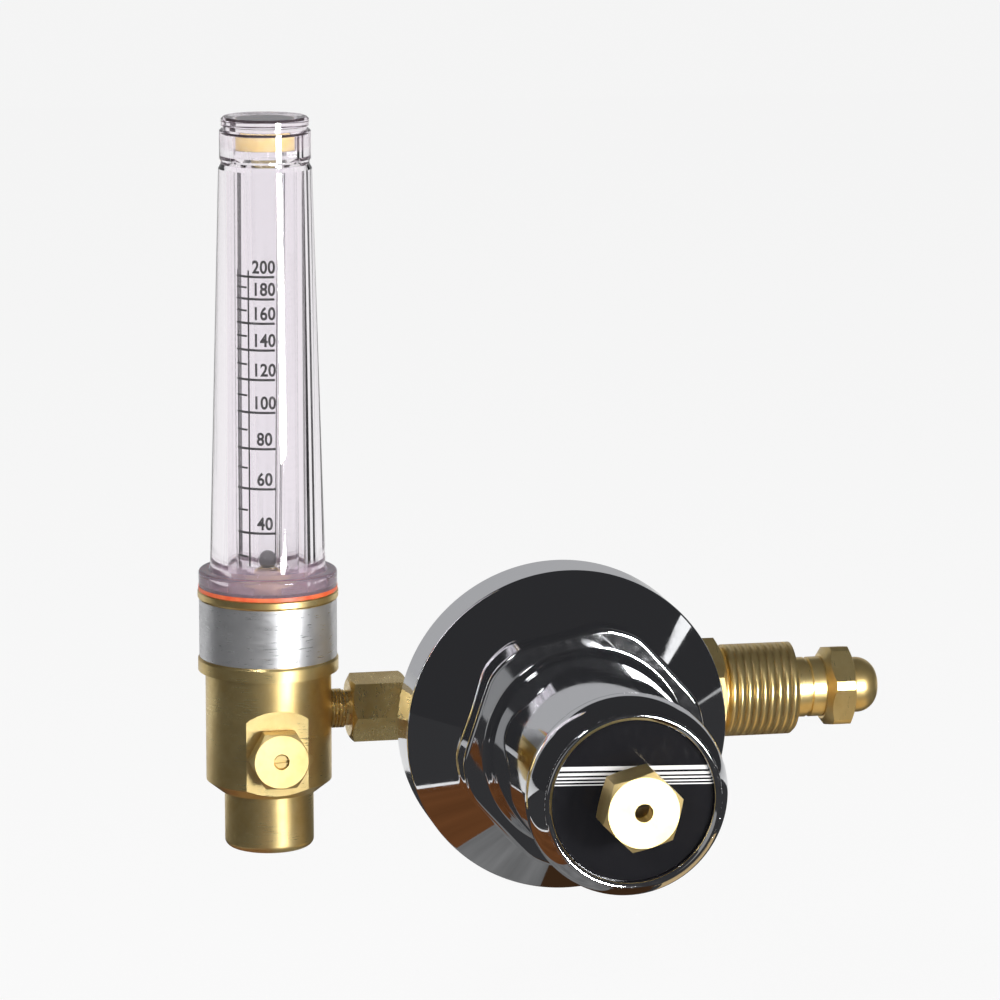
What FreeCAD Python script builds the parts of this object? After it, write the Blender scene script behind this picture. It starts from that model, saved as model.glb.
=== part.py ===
import FreeCAD, Part
import math
import os
import Sketcher

# Cylinder regulator with a flowmeter, a chrome bonnet and a brass inlet fitting.
# The part frame has its origin where the inlet axis crosses the seating face of the nipple flange.
# +X points out of the inlet, -Y points out of the bonnet towards the reader, +Z is up.
# Three turning axes meet on the port axis: the inlet, the regulator core and the flowmeter.

SIZES = {
    # distances between the three axes, along the port axis
    "core_to_flange": 84.1,
    "core_to_meter": 71.8,
    # bonnet, heights are measured forward from the port axis
    "skirt_back": 21.0,
    "skirt_front": 35.3,
    "skirt_wall": 3.65,
    "skirt_flare": 0.05,
    "hex_root": 45.7,
    "hex_front": 55.0,
    "hex_half": 29.3,
    "hex_corner_r": 31.3,
    "barrel_foot_r": 25.4,
    "barrel_r": 24.6,
    "neck_r": 23.1,
    "neck_wall": 2.7,
    "cap_back": 99.0,
    "cap_r": 24.95,
    "cap_bend": 13.5,
    "cap_rise": 9.8,
    "cap_crest_r": 21.6,
    "label_drop": 2.0,
    "label_r": 20.0,
    "bonnet_wall": 3.8,
    "fixing_r": 38.0,
    "thread_clear": 0.1,
    # sealed stack under the bonnet
    "body_rim": 33.0,
    "diaphragm_thick": 1.2,
    "slip_thick": 1.2,
    "slip_inset": 1.2,
    "slip_band": 5.8,
    "plate_r": 26.0,
    "plate_thick": 2.0,
    "stud_r": 3.0,
    "stud_long": 1.6,
    "plate_boss_tall": 4.0,
    # regulator body behind the bonnet
    "body_back": 19.0,
    "body_core_r": 20.5,
    "body_neck": 9.0,
    "body_disc_back": 15.5,
    "chamber_r": 29.0,
    "chamber_deep": 2.5,
    "inlet_boss_r": 13.0,
    "inlet_boss_end": 36.0,
    "outlet_boss_r": 9.5,
    "outlet_boss_end": 33.0,
    "outlet_passage_off": 14.5,
    "passage_r": 2.2,
    "plug_thread_r": 9.0,
    "plug_deep": 11.0,
    "plug_head": 6.0,
    "plug_flats": 19.05,
    "valve_room_r": 7.0,
    "valve_room_top": 10.0,
    # seat, poppet and closing spring
    "nozzle_thick": 4.0,
    "nozzle_bore_r": 1.7,
    "poppet_r": 3.6,
    "poppet_back": 1.0,
    "stem_r": 0.9,
    "closing_coil_r": 2.5,
    "closing_wire_r": 0.3,
    "closing_pocket_r": 3.4,
    "closing_pocket_deep": 6.0,
    # adjusting parts under the cap
    "spring_coil_r": 13.5,
    "spring_wire_r": 2.0,
    "button_under_label": 14.8,
    "button_thick": 4.0,
    "button_r": 18.0,
    "button_boss_r": 10.8,
    "button_boss_deep": 5.0,
    "screw_r": 4.0,
    "screw_under_label": 8.3,
    "screw_over_label": 4.7,
    "screw_slot": 1.2,
    "screw_slot_deep": 1.6,
    "cap_nut_flats": 17.7,
    "cap_nut_tall": 12.4,
    "cap_nut_collar": 2.4,
    "cap_nut_collar_r": 7.9,
    "cap_nut_skin": 4.5,
    "cap_nut_shank": 4.0,
    "cap_nut_shank_r": 7.0,
    "cap_nut_hole_r": 2.3,
    "label_thick": 0.4,
    # inlet fitting, lengths run outwards from the core axis
    "tail_start": 21.0,
    "tail_r": 6.45,
    "stem_tube_r": 7.95,
    "stem_groove_at": 72.5,
    "stem_groove_wide": 1.2,
    "stem_groove_deep": 0.6,
    "flange_start": 76.6,
    "flange_flats": 20.5,
    "nose_r": 7.35,
    "nose_straight": 2.4,
    "nose_dome": 5.2,
    "nose_tip_r": 3.4,
    "nose_round": 5.5,
    "inlet_bore_r": 2.4,
    "filter_r": 2.6,
    "filter_long": 6.0,
    "filter_inset": 3.0,
    "nut_flats": 25.4,
    "nut_back": 38.2,
    "nut_hex_end": 48.3,
    "nut_relief_r": 11.3,
    "nut_thread_start": 49.6,
    "nut_front": 68.3,
    "nut_thread_r": 12.2,
    "run_clear": 0.06,
    # outlet adaptor, lengths run away from the inlet
    "adaptor_flats": 15.875,
    "adaptor_hex_near": 35.9,
    "adaptor_hex_far": 50.9,
    "adaptor_collar_r": 6.2,
    "adaptor_thread_r": 5.1,
    "adaptor_neck_r": 4.6,
    "adaptor_near_end": 24.0,
    "adaptor_far_end": 63.0,
    "adaptor_bore_r": 2.2,
    # flowmeter body, heights from the port axis
    "spigot_bottom": -35.5,
    "spigot_r": 11.6,
    "shoulder_low": -20.4,
    "shoulder_high": -17.6,
    "shoulder_r": 12.8,
    "meter_r": 16.33,
    "lip_low": 11.6,
    "band_low": 15.2,
    "band_high": 30.5,
    "collar_top": 32.8,
    "lip_r": 18.2,
    "band_r": 17.85,
    "band_thick": 0.15,
    "well_r": 12.6,
    "well_floor": 26.5,
    "outlet_port_r": 6.6,
    "outlet_port_deep": 12.0,
    "centre_passage_r": 2.0,
    "return_off": 8.0,
    "return_r": 1.6,
    # flow valve on the front of the flowmeter body
    "valve_low": 8.8,
    "valve_shift": 0.2,
    "spotface_r": 12.5,
    "spotface_at": 14.2,
    "valve_room_start": 4.0,
    "valve_room_end": 11.0,
    "valve_side_r": 4.2,
    "valve_seat_r": 1.4,
    "valve_nut_flats": 14.29,
    "valve_nut_face": 19.8,
    "valve_nut_collar": 1.2,
    "valve_nut_thread_r": 4.9,
    "needle_r": 2.0,
    "needle_front": 19.2,
    "needle_tip": 1.7,
    "needle_slot": 0.8,
    "seal_at": 14.6,
    "seal_wire_r": 0.5,
    # shield, tube, seat and ball
    "gasket_thick": 1.0,
    "shield_flange_r": 17.9,
    "shield_flange_top": 38.0,
    "shield_base_r": 14.9,
    "shield_neck_r": 11.95,
    "shield_neck": 142.0,
    "shield_ring_r": 11.3,
    "shield_ring_tall": 2.5,
    "shield_head_r": 11.65,
    "shield_head_tall": 7.5,
    "shield_cap_r": 11.2,
    "shield_cap_tall": 3.2,
    "shield_roof": 4.6,
    "shield_wall": 2.1,
    "shield_spigot_r": 12.5,
    "seat_disc_r": 6.6,
    "seat_disc_low": 34.4,
    "seat_disc_high": 36.4,
    "seat_stem_r": 3.6,
    "seat_cone_r": 2.2,
    "seat_bore_r": 1.4,
    "seat_top": 38.9,
    "tube_r": 8.1,
    "tube_seal_thick": 0.8,
    "tube_bore_low_r": 3.75,
    "tube_bore_start": 39.4,
    "tube_taper_low_r": 2.5,
    "tube_taper_high_r": 3.9,
    "pad_thick": 3.6,
    "pad_r": 7.5,
    "ball_r": 2.38,
}

doc = FreeCAD.newDocument("regulator")
sheet = doc.addObject("Spreadsheet::Sheet", "Sizes")
for row, (name, number) in enumerate(SIZES.items(), start=1):
    sheet.set("A%d" % row, name)
    sheet.set("B%d" % row, repr(number))
    sheet.setAlias("B%d" % row, name)
doc.recompute()


# A size carries its spreadsheet expression and its present value together.
class Size:
    def __init__(self, text, value):
        self.text = text
        self.value = value

    def joined(self, other, sign, value):
        return Size("(%s %s %s)" % (self.text, sign, other.text), value)

    def __add__(self, other):
        other = size(other)
        return self.joined(other, "+", self.value + other.value)

    def __sub__(self, other):
        other = size(other)
        return self.joined(other, "-", self.value - other.value)

    def __mul__(self, other):
        other = size(other)
        return self.joined(other, "*", self.value * other.value)

    def __truediv__(self, other):
        other = size(other)
        return self.joined(other, "/", self.value / other.value)

    def __rsub__(self, other):
        return size(other) - self

    def __neg__(self):
        return size(0) - self

    __radd__ = __add__
    __rmul__ = __mul__


def size(thing):
    if isinstance(thing, Size):
        return thing
    return Size(repr(thing), float(thing))


def root(thing):
    thing = size(thing)
    return Size("sqrt(%s)" % thing.text, math.sqrt(thing.value))


class Table:
    def __getattr__(self, name):
        return Size("Sizes." + name, SIZES[name])


S = Table()

ALONG_X = FreeCAD.Rotation(FreeCAD.Vector(0, 1, 0), 90)
ALONG_MINUS_X = FreeCAD.Rotation(FreeCAD.Vector(0, 1, 0), -90)
ALONG_MINUS_Y = FreeCAD.Rotation(FreeCAD.Vector(1, 0, 0), 90)
UPRIGHT = FreeCAD.Rotation()


def bind(thing, name, value):
    thing.setExpression(name, size(value).text)
    return thing


def put(thing, x=0, y=0, z=0, turn=UPRIGHT):
    thing.Placement = FreeCAD.Placement(FreeCAD.Vector(), turn)
    for letter, value in (("x", x), ("y", y), ("z", z)):
        if not isinstance(value, int):
            bind(thing, "Placement.Base." + letter, value)
    return thing


def rod(radius, low, high, x=0, y=0):
    made = doc.addObject("Part::Cylinder", "rod")
    bind(made, "Radius", radius)
    bind(made, "Height", size(high) - low)
    return put(made, x, y, size(low))


def cone(radius_low, radius_high, low, high):
    made = doc.addObject("Part::Cone", "cone")
    bind(made, "Radius1", radius_low)
    bind(made, "Radius2", radius_high)
    bind(made, "Height", size(high) - low)
    return put(made, z=size(low))


def prism(flats, low, high, spin=0.0):
    made = doc.addObject("Part::Prism", "prism")
    made.Polygon = 6
    bind(made, "Circumradius", size(flats) / math.sqrt(3))
    bind(made, "Height", size(high) - low)
    turn = FreeCAD.Rotation(FreeCAD.Vector(0, 0, 1), spin)
    return put(made, z=size(low), turn=turn)


def ball(radius, x=0, z=0):
    made = doc.addObject("Part::Sphere", "ball")
    bind(made, "Radius", radius)
    return put(made, x=x, z=z)


def hoop(radius, wire, z=0):
    made = doc.addObject("Part::Torus", "hoop")
    bind(made, "Radius1", radius)
    bind(made, "Radius2", wire)
    return put(made, z=z)


def block(long, wide, low, high, x=0):
    made = doc.addObject("Part::Box", "block")
    bind(made, "Length", long)
    bind(made, "Width", wide)
    bind(made, "Height", size(high) - low)
    return put(made, size(x) - size(long) / 2, -(size(wide) / 2), size(low))


# A cross hole or boss leaves the local axis along local +X.
def cross(radius, start, end, z=0):
    made = doc.addObject("Part::Cylinder", "cross")
    bind(made, "Radius", radius)
    bind(made, "Height", size(end) - start)
    return put(made, x=size(start), z=z, turn=ALONG_X)


# A hole whose axis leaves along -Y, the way the flow valve points.
def forward(radius, start, end, x=0, z=0):
    made = doc.addObject("Part::Cylinder", "forward")
    bind(made, "Radius", radius)
    bind(made, "Height", size(end) - start)
    return put(made, x=x, y=-(size(start)), z=z, turn=ALONG_MINUS_Y)


def joined(*pieces):
    made = doc.addObject("Part::MultiFuse", "joined")
    made.Shapes = list(pieces)
    made.Refine = True
    return made


def cut(base, *tools):
    made = doc.addObject("Part::Cut", "cut")
    made.Base = base
    made.Tool = tools[0] if len(tools) == 1 else joined(*tools)
    made.Refine = True
    return made


def shared(*pieces):
    made = doc.addObject("Part::MultiCommon", "shared")
    made.Shapes = list(pieces)
    made.Refine = True
    return made


# A turned solid: each corner is (radius, height), with an arc radius and side where the next run is curved.
def turned(name, corners):
    body = doc.addObject("PartDesign::Body", name)
    sketch = body.newObject("Sketcher::SketchObject", name + "_section")
    plane = [f for f in body.Origin.OriginFeatures if f.Role == "XZ_Plane"][0]
    sketch.AttachmentSupport = [(plane, "")]
    sketch.MapMode = "FlatFace"
    points = [FreeCAD.Vector(size(c[0]).value, size(c[1]).value, 0) for c in corners]
    count = len(corners)
    for i, corner in enumerate(corners):
        here = points[i]
        there = points[(i + 1) % count]
        if len(corner) == 2:
            sketch.addGeometry(Part.LineSegment(here, there), False)
        else:
            bend = size(corner[2]).value
            chord = there - here
            half = chord.Length / 2
            rise = math.sqrt(max(bend * bend - half * half, 0.0))
            normal = FreeCAD.Vector(-chord.y, chord.x, 0).normalize() * corner[3]
            centre = (here + there) * 0.5 + normal * rise
            middle = centre - normal * bend
            sketch.addGeometry(Part.Arc(here, middle, there), False)
    starts = []
    for i, corner in enumerate(corners):
        # an arc keeps its own sense of turning, so its start may be the far end
        starts.append(1)
        if len(corner) > 2:
            found = sketch.getPoint(i, 1)
            if (found - points[i]).Length > 1e-6:
                starts[i] = 2
    for i in range(count):
        following = (i + 1) % count
        sketch.addConstraint(
            Sketcher.Constraint("Coincident", i, 3 - starts[i], following, starts[following])
        )
    for i, corner in enumerate(corners):
        for letter, index, axis in (("DistanceX", 0, -2), ("DistanceY", 1, -1)):
            wanted = size(corner[index])
            if wanted.text == "0":
                sketch.addConstraint(Sketcher.Constraint("PointOnObject", i, starts[i], axis))
            else:
                held = sketch.addConstraint(
                    Sketcher.Constraint(letter, -1, 1, i, starts[i], wanted.value)
                )
                bind(sketch, "Constraints[%d]" % held, wanted)
        if len(corner) > 2:
            held = sketch.addConstraint(Sketcher.Constraint("Radius", i, size(corner[2]).value))
            bind(sketch, "Constraints[%d]" % held, corner[2])
    doc.recompute()
    spun = body.newObject("PartDesign::Revolution", name + "_turned")
    spun.Profile = sketch
    spun.ReferenceAxis = (sketch, ["V_Axis"])
    spun.Angle = 360
    body.Tip = spun
    doc.recompute()
    return body


def coil(radius, wire, low, high, turns):
    spine = doc.addObject("Part::Helix", "spine")
    bind(spine, "Radius", radius)
    bind(spine, "Height", size(high) - low)
    bind(spine, "Pitch", (size(high) - low) / turns)
    spine.SegmentLength = 1
    put(spine, z=size(low))
    ring = doc.addObject("Part::Circle", "wire")
    bind(ring, "Radius", wire)
    turn = FreeCAD.Rotation(FreeCAD.Vector(1, 0, 0), 90)
    put(ring, x=size(radius), z=size(low), turn=turn)
    swept = doc.addObject("Part::Sweep", "coil")
    swept.Sections = [ring]
    swept.Spine = (spine, [])
    swept.Solid = True
    swept.Frenet = True
    doc.recompute()
    return swept


NODES = []


# Every finished sub-part takes its name, its place on the port axis and its turning direction here.
def node(name, thing, x=0, y=0, z=0, turn=UPRIGHT):
    thing.Label = name
    NODES.append(put(thing, x, y, z, turn))
    return thing


# radii that follow the screwed rim
skirt_back_r = S.fixing_r + S.thread_clear + S.skirt_wall
skirt_front_r = skirt_back_r + S.skirt_flare
slip_out_r = S.fixing_r - S.slip_inset
slip_in_r = slip_out_r - S.slip_band

# heights that several pieces share
cap_crest = S.cap_back + S.cap_rise
label_floor = cap_crest - S.label_drop
cap_nut_front = label_floor + S.cap_nut_tall
cap_nut_back = label_floor - S.cap_nut_shank
button_back = label_floor - S.button_under_label
screw_back = label_floor - S.screw_under_label
screw_front = label_floor + S.screw_over_label
shield_head = S.shield_neck + S.shield_ring_tall
shield_head_top = shield_head + S.shield_head_tall
shield_top = shield_head_top + S.shield_cap_tall
pad_top = shield_top - S.shield_roof
tube_top = pad_top - S.pad_thick

core_x = -S.core_to_flange
meter_x = -S.core_to_flange - S.core_to_meter
valve_x = meter_x + S.valve_shift


def core_node(name, thing):
    return node(name, thing, x=core_x, turn=ALONG_MINUS_Y)


def inlet_node(name, thing):
    return node(name, thing, x=core_x, turn=ALONG_X)


def outlet_node(name, thing):
    return node(name, thing, x=core_x, turn=ALONG_MINUS_X)


def meter_node(name, thing):
    return node(name, thing, x=meter_x)


def valve_node(name, thing):
    return node(name, thing, x=valve_x, z=-S.valve_low, turn=ALONG_MINUS_Y)


# Bonnet: a cast bell with a screwed skirt, a wrench hexagon, a barrel and a rounded cap.
stack_top = S.body_rim + S.diaphragm_thick + S.slip_thick
cavity_r = S.neck_r - S.neck_wall
bell = turned("bonnet_bell", [
    (S.fixing_r + S.thread_clear, S.skirt_back),
    (skirt_back_r - 0.6, S.skirt_back),
    (skirt_back_r, S.skirt_back + 0.6),
    (skirt_front_r, S.skirt_front - 0.5),
    (skirt_front_r - 0.5, S.skirt_front),
    (S.hex_corner_r, S.hex_root),
    (S.barrel_foot_r, S.hex_root),
    (S.barrel_foot_r - 1, S.hex_root - 1),
    (cavity_r, S.hex_root - 1),
    (slip_out_r - 4, stack_top + 2),
    (slip_out_r - 4, stack_top),
    (S.fixing_r + S.thread_clear, stack_top),
])
boss_low = S.hex_root - 1.5
hex_boss = shared(
    prism(S.hex_half * 2, boss_low, S.hex_front, 12.0),
    turned("bonnet_hex_round", [
        (0, boss_low),
        (S.hex_corner_r + 0.1, boss_low),
        (S.hex_corner_r - 0.4, S.hex_front - 0.6),
        (S.hex_corner_r - 1.0, S.hex_front),
        (0, S.hex_front),
    ]),
)
barrel = turned("bonnet_barrel", [
    (cavity_r, S.hex_root - 2),
    (S.barrel_foot_r, S.hex_root - 2),
    (S.barrel_foot_r + 1, S.hex_front - 0.5),
    (S.barrel_foot_r + 1, S.hex_front),
    (S.barrel_foot_r, S.hex_front + 0.4),
    (S.barrel_r, S.hex_front + 2.4),
    (S.neck_r, S.cap_back - 0.7),
    (S.cap_r - 0.5, S.cap_back),
    (S.cap_r, S.cap_back + 0.6, S.cap_bend, 1),
    (S.cap_crest_r, cap_crest),
    (S.label_r + 0.2, cap_crest - 0.6),
    (S.label_r + 0.1, label_floor),
    (S.cap_nut_shank_r + 0.05, label_floor),
    (S.cap_nut_shank_r + 0.05, label_floor - S.bonnet_wall),
    (cavity_r, label_floor - S.bonnet_wall),
])
hollow_boss = cut(hex_boss, rod(cavity_r, boss_low - 1, S.hex_front + 1))
core_node("bonnet", joined(bell, hollow_boss, barrel))

# Black label disc lying in the cap recess.
core_node("bonnet_label", cut(
    rod(S.label_r, label_floor, label_floor + S.label_thick),
    rod(S.cap_nut_shank_r + 0.05, label_floor - 1, label_floor + 1),
))

# Brass cap nut screwed through the cap, with a small hole for a screwdriver.
nut_low = label_floor + S.label_thick
cap_hex_low = nut_low + S.cap_nut_collar
cap_hex = shared(
    prism(S.cap_nut_flats, cap_hex_low, cap_nut_front, 15.5),
    turned("cap_nut_chamfer", [
        (0, cap_hex_low),
        (S.cap_nut_flats / 2 - 0.1, cap_hex_low),
        (S.cap_nut_flats / 2 + 1.8, cap_hex_low + 1.1),
        (S.cap_nut_flats / 2 + 1.8, cap_nut_front - 1.1),
        (S.cap_nut_flats / 2 - 0.1, cap_nut_front),
        (0, cap_nut_front),
    ]),
)
core_node("cap_nut", cut(
    joined(
        cap_hex,
        rod(S.cap_nut_collar_r, nut_low, cap_hex_low + 1),
        rod(S.cap_nut_shank_r, cap_nut_back, nut_low + 1),
    ),
    rod(S.screw_r + S.run_clear, cap_nut_back - 1, cap_nut_front - S.cap_nut_skin),
    rod(S.cap_nut_hole_r, cap_nut_back, cap_nut_front + 1),
))

# Slotted adjusting screw inside the cap nut.
core_node("adjusting_screw", cut(
    joined(
        rod(S.screw_r, screw_back + 1, screw_front),
        cone(S.screw_r - 1, S.screw_r, screw_back, screw_back + 1),
    ),
    block(S.screw_r * 3, S.screw_slot, screw_front - S.screw_slot_deep, screw_front + 1),
))

# Spring button pushed by the screw.
button_top = button_back + S.button_thick
core_node("spring_button", cut(
    joined(
        rod(S.button_r, button_back, button_top),
        rod(S.button_boss_r, button_back - S.button_boss_deep, button_back + 1),
        rod(S.screw_r + 3, button_top - 1, screw_back + 1.5),
    ),
    cone(S.screw_r - 1, S.screw_r + 0.05, screw_back, screw_back + 1.02),
    rod(S.screw_r + 0.05, screw_back + 1, screw_back + 3),
))

# Main spring between the diaphragm plate and the button, ends ground flat.
plate_top = S.body_rim + S.diaphragm_thick + S.plate_thick
main_coil = coil(
    S.spring_coil_r,
    S.spring_wire_r,
    plate_top,
    button_back,
    5.5,
)
core_node("main_spring", shared(
    main_coil,
    rod(S.spring_coil_r + S.spring_wire_r + 1, plate_top, button_back),
))

# Diaphragm plate with its centring boss and the stud that meets the valve stem.
plate_low = S.body_rim + S.diaphragm_thick
stud_low = S.body_rim - S.stud_long
core_node("diaphragm_plate", joined(
    rod(S.plate_r, plate_low, plate_top),
    rod(S.button_boss_r, plate_top - 1, plate_top + S.plate_boss_tall),
    rod(S.stud_r, stud_low, plate_low + 1),
))

# Rubber diaphragm clamped on the body rim.
core_node("diaphragm", cut(
    rod(slip_out_r, S.body_rim, plate_low),
    rod(S.stud_r + 0.03, S.body_rim - 1, plate_low + 1),
))

# Slip ring that lets the bonnet tighten without dragging the diaphragm.
core_node("slip_ring", cut(
    rod(slip_out_r, plate_low, stack_top),
    rod(slip_in_r, plate_low - 1, stack_top + 1),
))

# Brass regulator body behind the bonnet, with its two port bosses and its drilled passages.
body_turned = turned("regulator_core", [
    (0, -S.body_back),
    (S.body_core_r - 1, -S.body_back),
    (S.body_core_r, -S.body_back + 1),
    (S.body_core_r, S.body_neck),
    (S.fixing_r - 4, S.body_disc_back),
    (S.fixing_r, S.body_disc_back + 1.5),
    (S.fixing_r, S.body_rim - 0.5),
    (S.fixing_r - 0.5, S.body_rim),
    (S.chamber_r, S.body_rim),
    (S.chamber_r, S.body_rim - S.chamber_deep),
    (0, S.body_rim - S.chamber_deep),
])
inlet_boss = cross(S.inlet_boss_r, 0, S.inlet_boss_end)
outlet_boss = put(
    rod(S.outlet_boss_r, 0, S.outlet_boss_end),
    turn=ALONG_MINUS_X,
)
nozzle_top = S.valve_room_top
room_low = S.plug_deep - S.body_back
outlet_drill = put(
    rod(S.adaptor_thread_r + 0.05, 0, S.outlet_boss_end - S.adaptor_near_end + 1),
    x=-S.outlet_boss_end - 1,
    turn=ALONG_X,
)
outlet_run = put(
    rod(S.passage_r, 0, S.outlet_boss_end - S.outlet_passage_off),
    x=-S.outlet_boss_end,
    turn=ALONG_X,
)
core_node("regulator_body", cut(
    joined(body_turned, inlet_boss, outlet_boss),
    rod(S.plug_thread_r + 0.05, -S.body_back - 1, room_low),
    rod(S.valve_room_r, -S.body_back, nozzle_top),
    rod(S.passage_r, 0, S.body_rim),
    rod(S.passage_r, 0, S.body_rim, x=-S.outlet_passage_off),
    outlet_drill,
    outlet_run,
    cross(S.tail_r + 0.05, S.tail_start, S.inlet_boss_end + 1),
    cross(S.inlet_bore_r, 0, S.inlet_boss_end),
))

# Hexagon plug that closes the valve room at the back and holds the closing spring.
plug_hex = shared(
    prism(S.plug_flats, -S.body_back - S.plug_head, -S.body_back),
    cone(S.plug_flats / 2, S.plug_flats / 2 + S.plug_head, -S.body_back - S.plug_head, -S.body_back),
)
core_node("valve_plug", cut(
    joined(plug_hex, rod(S.plug_thread_r, -S.body_back - 1, room_low)),
    rod(S.closing_pocket_r, room_low - S.closing_pocket_deep, room_low + 1),
))

# Seat nozzle at the top of the valve room.
nozzle_low = nozzle_top - S.nozzle_thick
core_node("valve_seat", cut(
    rod(S.valve_room_r - 0.03, nozzle_low, nozzle_top),
    rod(S.nozzle_bore_r, nozzle_low - 1, nozzle_top + 1),
))

# Poppet with its stem, resting closed against the nozzle.
core_node("poppet", joined(
    rod(S.poppet_r, S.poppet_back, nozzle_low),
    rod(S.closing_coil_r - S.closing_wire_r - 0.2, S.poppet_back - 3, S.poppet_back + 1),
    rod(S.stem_r, S.poppet_back, stud_low),
))

# Closing spring behind the poppet.
closing_low = room_low - S.closing_pocket_deep
core_node("closing_spring", coil(
    S.closing_coil_r,
    S.closing_wire_r,
    closing_low + S.closing_wire_r,
    S.poppet_back - S.closing_wire_r,
    7,
))

# Inlet nipple: threaded tail, long stem, hexagon flange and a rounded seating nose.
flange_end = S.core_to_flange
nose_end = flange_end + S.nose_straight + S.nose_dome
groove_low = S.stem_groove_at - S.stem_groove_wide / 2
groove_high = S.stem_groove_at + S.stem_groove_wide / 2
nipple_stem = turned("nipple_stem", [
    (0, S.tail_start),
    (S.tail_r - 0.8, S.tail_start),
    (S.tail_r, S.tail_start + 0.8),
    (S.tail_r, S.inlet_boss_end),
    (S.stem_tube_r, S.inlet_boss_end),
    (S.stem_tube_r, groove_low),
    (S.stem_tube_r - S.stem_groove_deep, groove_low + 0.2),
    (S.stem_tube_r - S.stem_groove_deep, groove_high - 0.2),
    (S.stem_tube_r, groove_high),
    (S.stem_tube_r, S.flange_start + 1),
    (0, S.flange_start + 1),
])
nipple_nose = turned("nipple_nose", [
    (0, flange_end - 1),
    (S.nose_r, flange_end - 1),
    (S.nose_r, flange_end + S.nose_straight, S.nose_round, 1),
    (S.nose_tip_r, nose_end),
    (0, nose_end),
])
flange_round = turned("nipple_flange_round", [
    (0, S.flange_start),
    (S.flange_flats / 2 - 1.6, S.flange_start),
    (S.flange_flats / 2 + 1.0, S.flange_start + 1.9),
    (S.flange_flats / 2 + 1.0, flange_end - 0.7),
    (S.flange_flats / 2 - 0.4, flange_end),
    (0, flange_end),
])
nipple_flange = shared(prism(S.flange_flats, S.flange_start, flange_end, 17.7), flange_round)
filter_mouth = nose_end - S.filter_inset
inlet_node("inlet_nipple", cut(
    joined(nipple_stem, nipple_nose, nipple_flange),
    rod(S.inlet_bore_r, S.tail_start - 1, nose_end + 1),
    rod(S.filter_r + 0.02, filter_mouth - S.filter_long, nose_end + 1),
))

# Sintered filter plug in the mouth of the nipple.
filter_x = core_x + filter_mouth - S.filter_long
node("inlet_filter", rod(S.filter_r, 0, S.filter_long), x=filter_x, turn=ALONG_X)

# Inlet nut, free to turn on the nipple stem.
nut_hex = shared(
    prism(S.nut_flats, S.nut_back, S.nut_hex_end, 3.2),
    turned("nut_round", [
        (0, S.nut_back),
        (S.nut_flats / 2 - 0.3, S.nut_back),
        (S.nut_flats / 2 + 2.1, S.nut_back + 1.4),
        (S.nut_flats / 2 + 2.1, S.nut_hex_end - 1.4),
        (S.nut_flats / 2 - 0.3, S.nut_hex_end),
        (0, S.nut_hex_end),
    ]),
)
nut_barrel = turned("nut_barrel", [
    (0, S.nut_hex_end - 1),
    (S.nut_relief_r, S.nut_hex_end - 1),
    (S.nut_relief_r, S.nut_thread_start - 0.8),
    (S.nut_thread_r, S.nut_thread_start),
    (S.nut_thread_r, S.nut_front - 0.9),
    (S.nut_thread_r - 0.9, S.nut_front),
    (0, S.nut_front),
])
inlet_node("inlet_nut", cut(
    joined(nut_hex, nut_barrel),
    rod(S.stem_tube_r + S.run_clear, S.nut_back - 1, S.nut_front + 1),
))

# Outlet adaptor between the regulator body and the flowmeter.
adaptor_hex = shared(
    prism(S.adaptor_flats, S.adaptor_hex_near, S.adaptor_hex_far, 23.5),
    turned("adaptor_round", [
        (0, S.adaptor_hex_near),
        (S.adaptor_flats / 2 - 0.4, S.adaptor_hex_near),
        (S.adaptor_flats / 2 + 1.3, S.adaptor_hex_near + 1.1),
        (S.adaptor_flats / 2 + 1.3, S.adaptor_hex_far - 1.1),
        (S.adaptor_flats / 2 - 0.6, S.adaptor_hex_far),
        (0, S.adaptor_hex_far),
    ]),
)
adaptor_stem = turned("adaptor_stem", [
    (0, S.adaptor_near_end),
    (S.adaptor_thread_r - 0.6, S.adaptor_near_end),
    (S.adaptor_thread_r, S.adaptor_near_end + 0.6),
    (S.adaptor_thread_r, S.outlet_boss_end),
    (S.adaptor_collar_r, S.outlet_boss_end),
    (S.adaptor_collar_r, S.adaptor_hex_near + 1),
    (S.adaptor_neck_r, S.adaptor_hex_near + 1),
    (S.adaptor_neck_r, S.adaptor_hex_far + 1.1),
    (S.adaptor_thread_r, S.adaptor_hex_far + 1.6),
    (S.adaptor_thread_r, S.adaptor_far_end - 0.6),
    (S.adaptor_thread_r - 0.6, S.adaptor_far_end),
    (0, S.adaptor_far_end),
])
outlet_node("outlet_adaptor", cut(
    joined(adaptor_hex, adaptor_stem),
    rod(S.adaptor_bore_r, S.adaptor_near_end - 1, S.adaptor_far_end + 1),
))

# Flowmeter body: a turned brass column with a milled seat for the flow valve.
meter_turned = turned("meter_column", [
    (0, S.spigot_bottom),
    (S.spigot_r - 1.8, S.spigot_bottom, 1.8, 1),
    (S.spigot_r, S.spigot_bottom + 1.8),
    (S.spigot_r, S.shoulder_low),
    (S.shoulder_r, S.shoulder_low),
    (S.meter_r, S.shoulder_high),
    (S.meter_r, S.lip_low),
    (S.lip_r, S.lip_low),
    (S.lip_r, S.band_low - 0.6),
    (S.lip_r - 0.3, S.band_low),
    (S.band_r - S.band_thick, S.band_low),
    (S.band_r - S.band_thick, S.band_high),
    (S.lip_r - 0.3, S.band_high),
    (S.lip_r, S.band_high + 0.5),
    (S.lip_r, S.collar_top - 0.4),
    (S.lip_r - 0.4, S.collar_top),
    (S.well_r, S.collar_top),
    (S.well_r, S.well_floor),
    (0, S.well_floor),
])
valve_z = -S.valve_low
return_passage = rod(S.return_r, valve_z, S.well_floor + 1, y=-S.return_off)
meter_inlet = cross(S.adaptor_bore_r, 0, S.meter_r)
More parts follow.
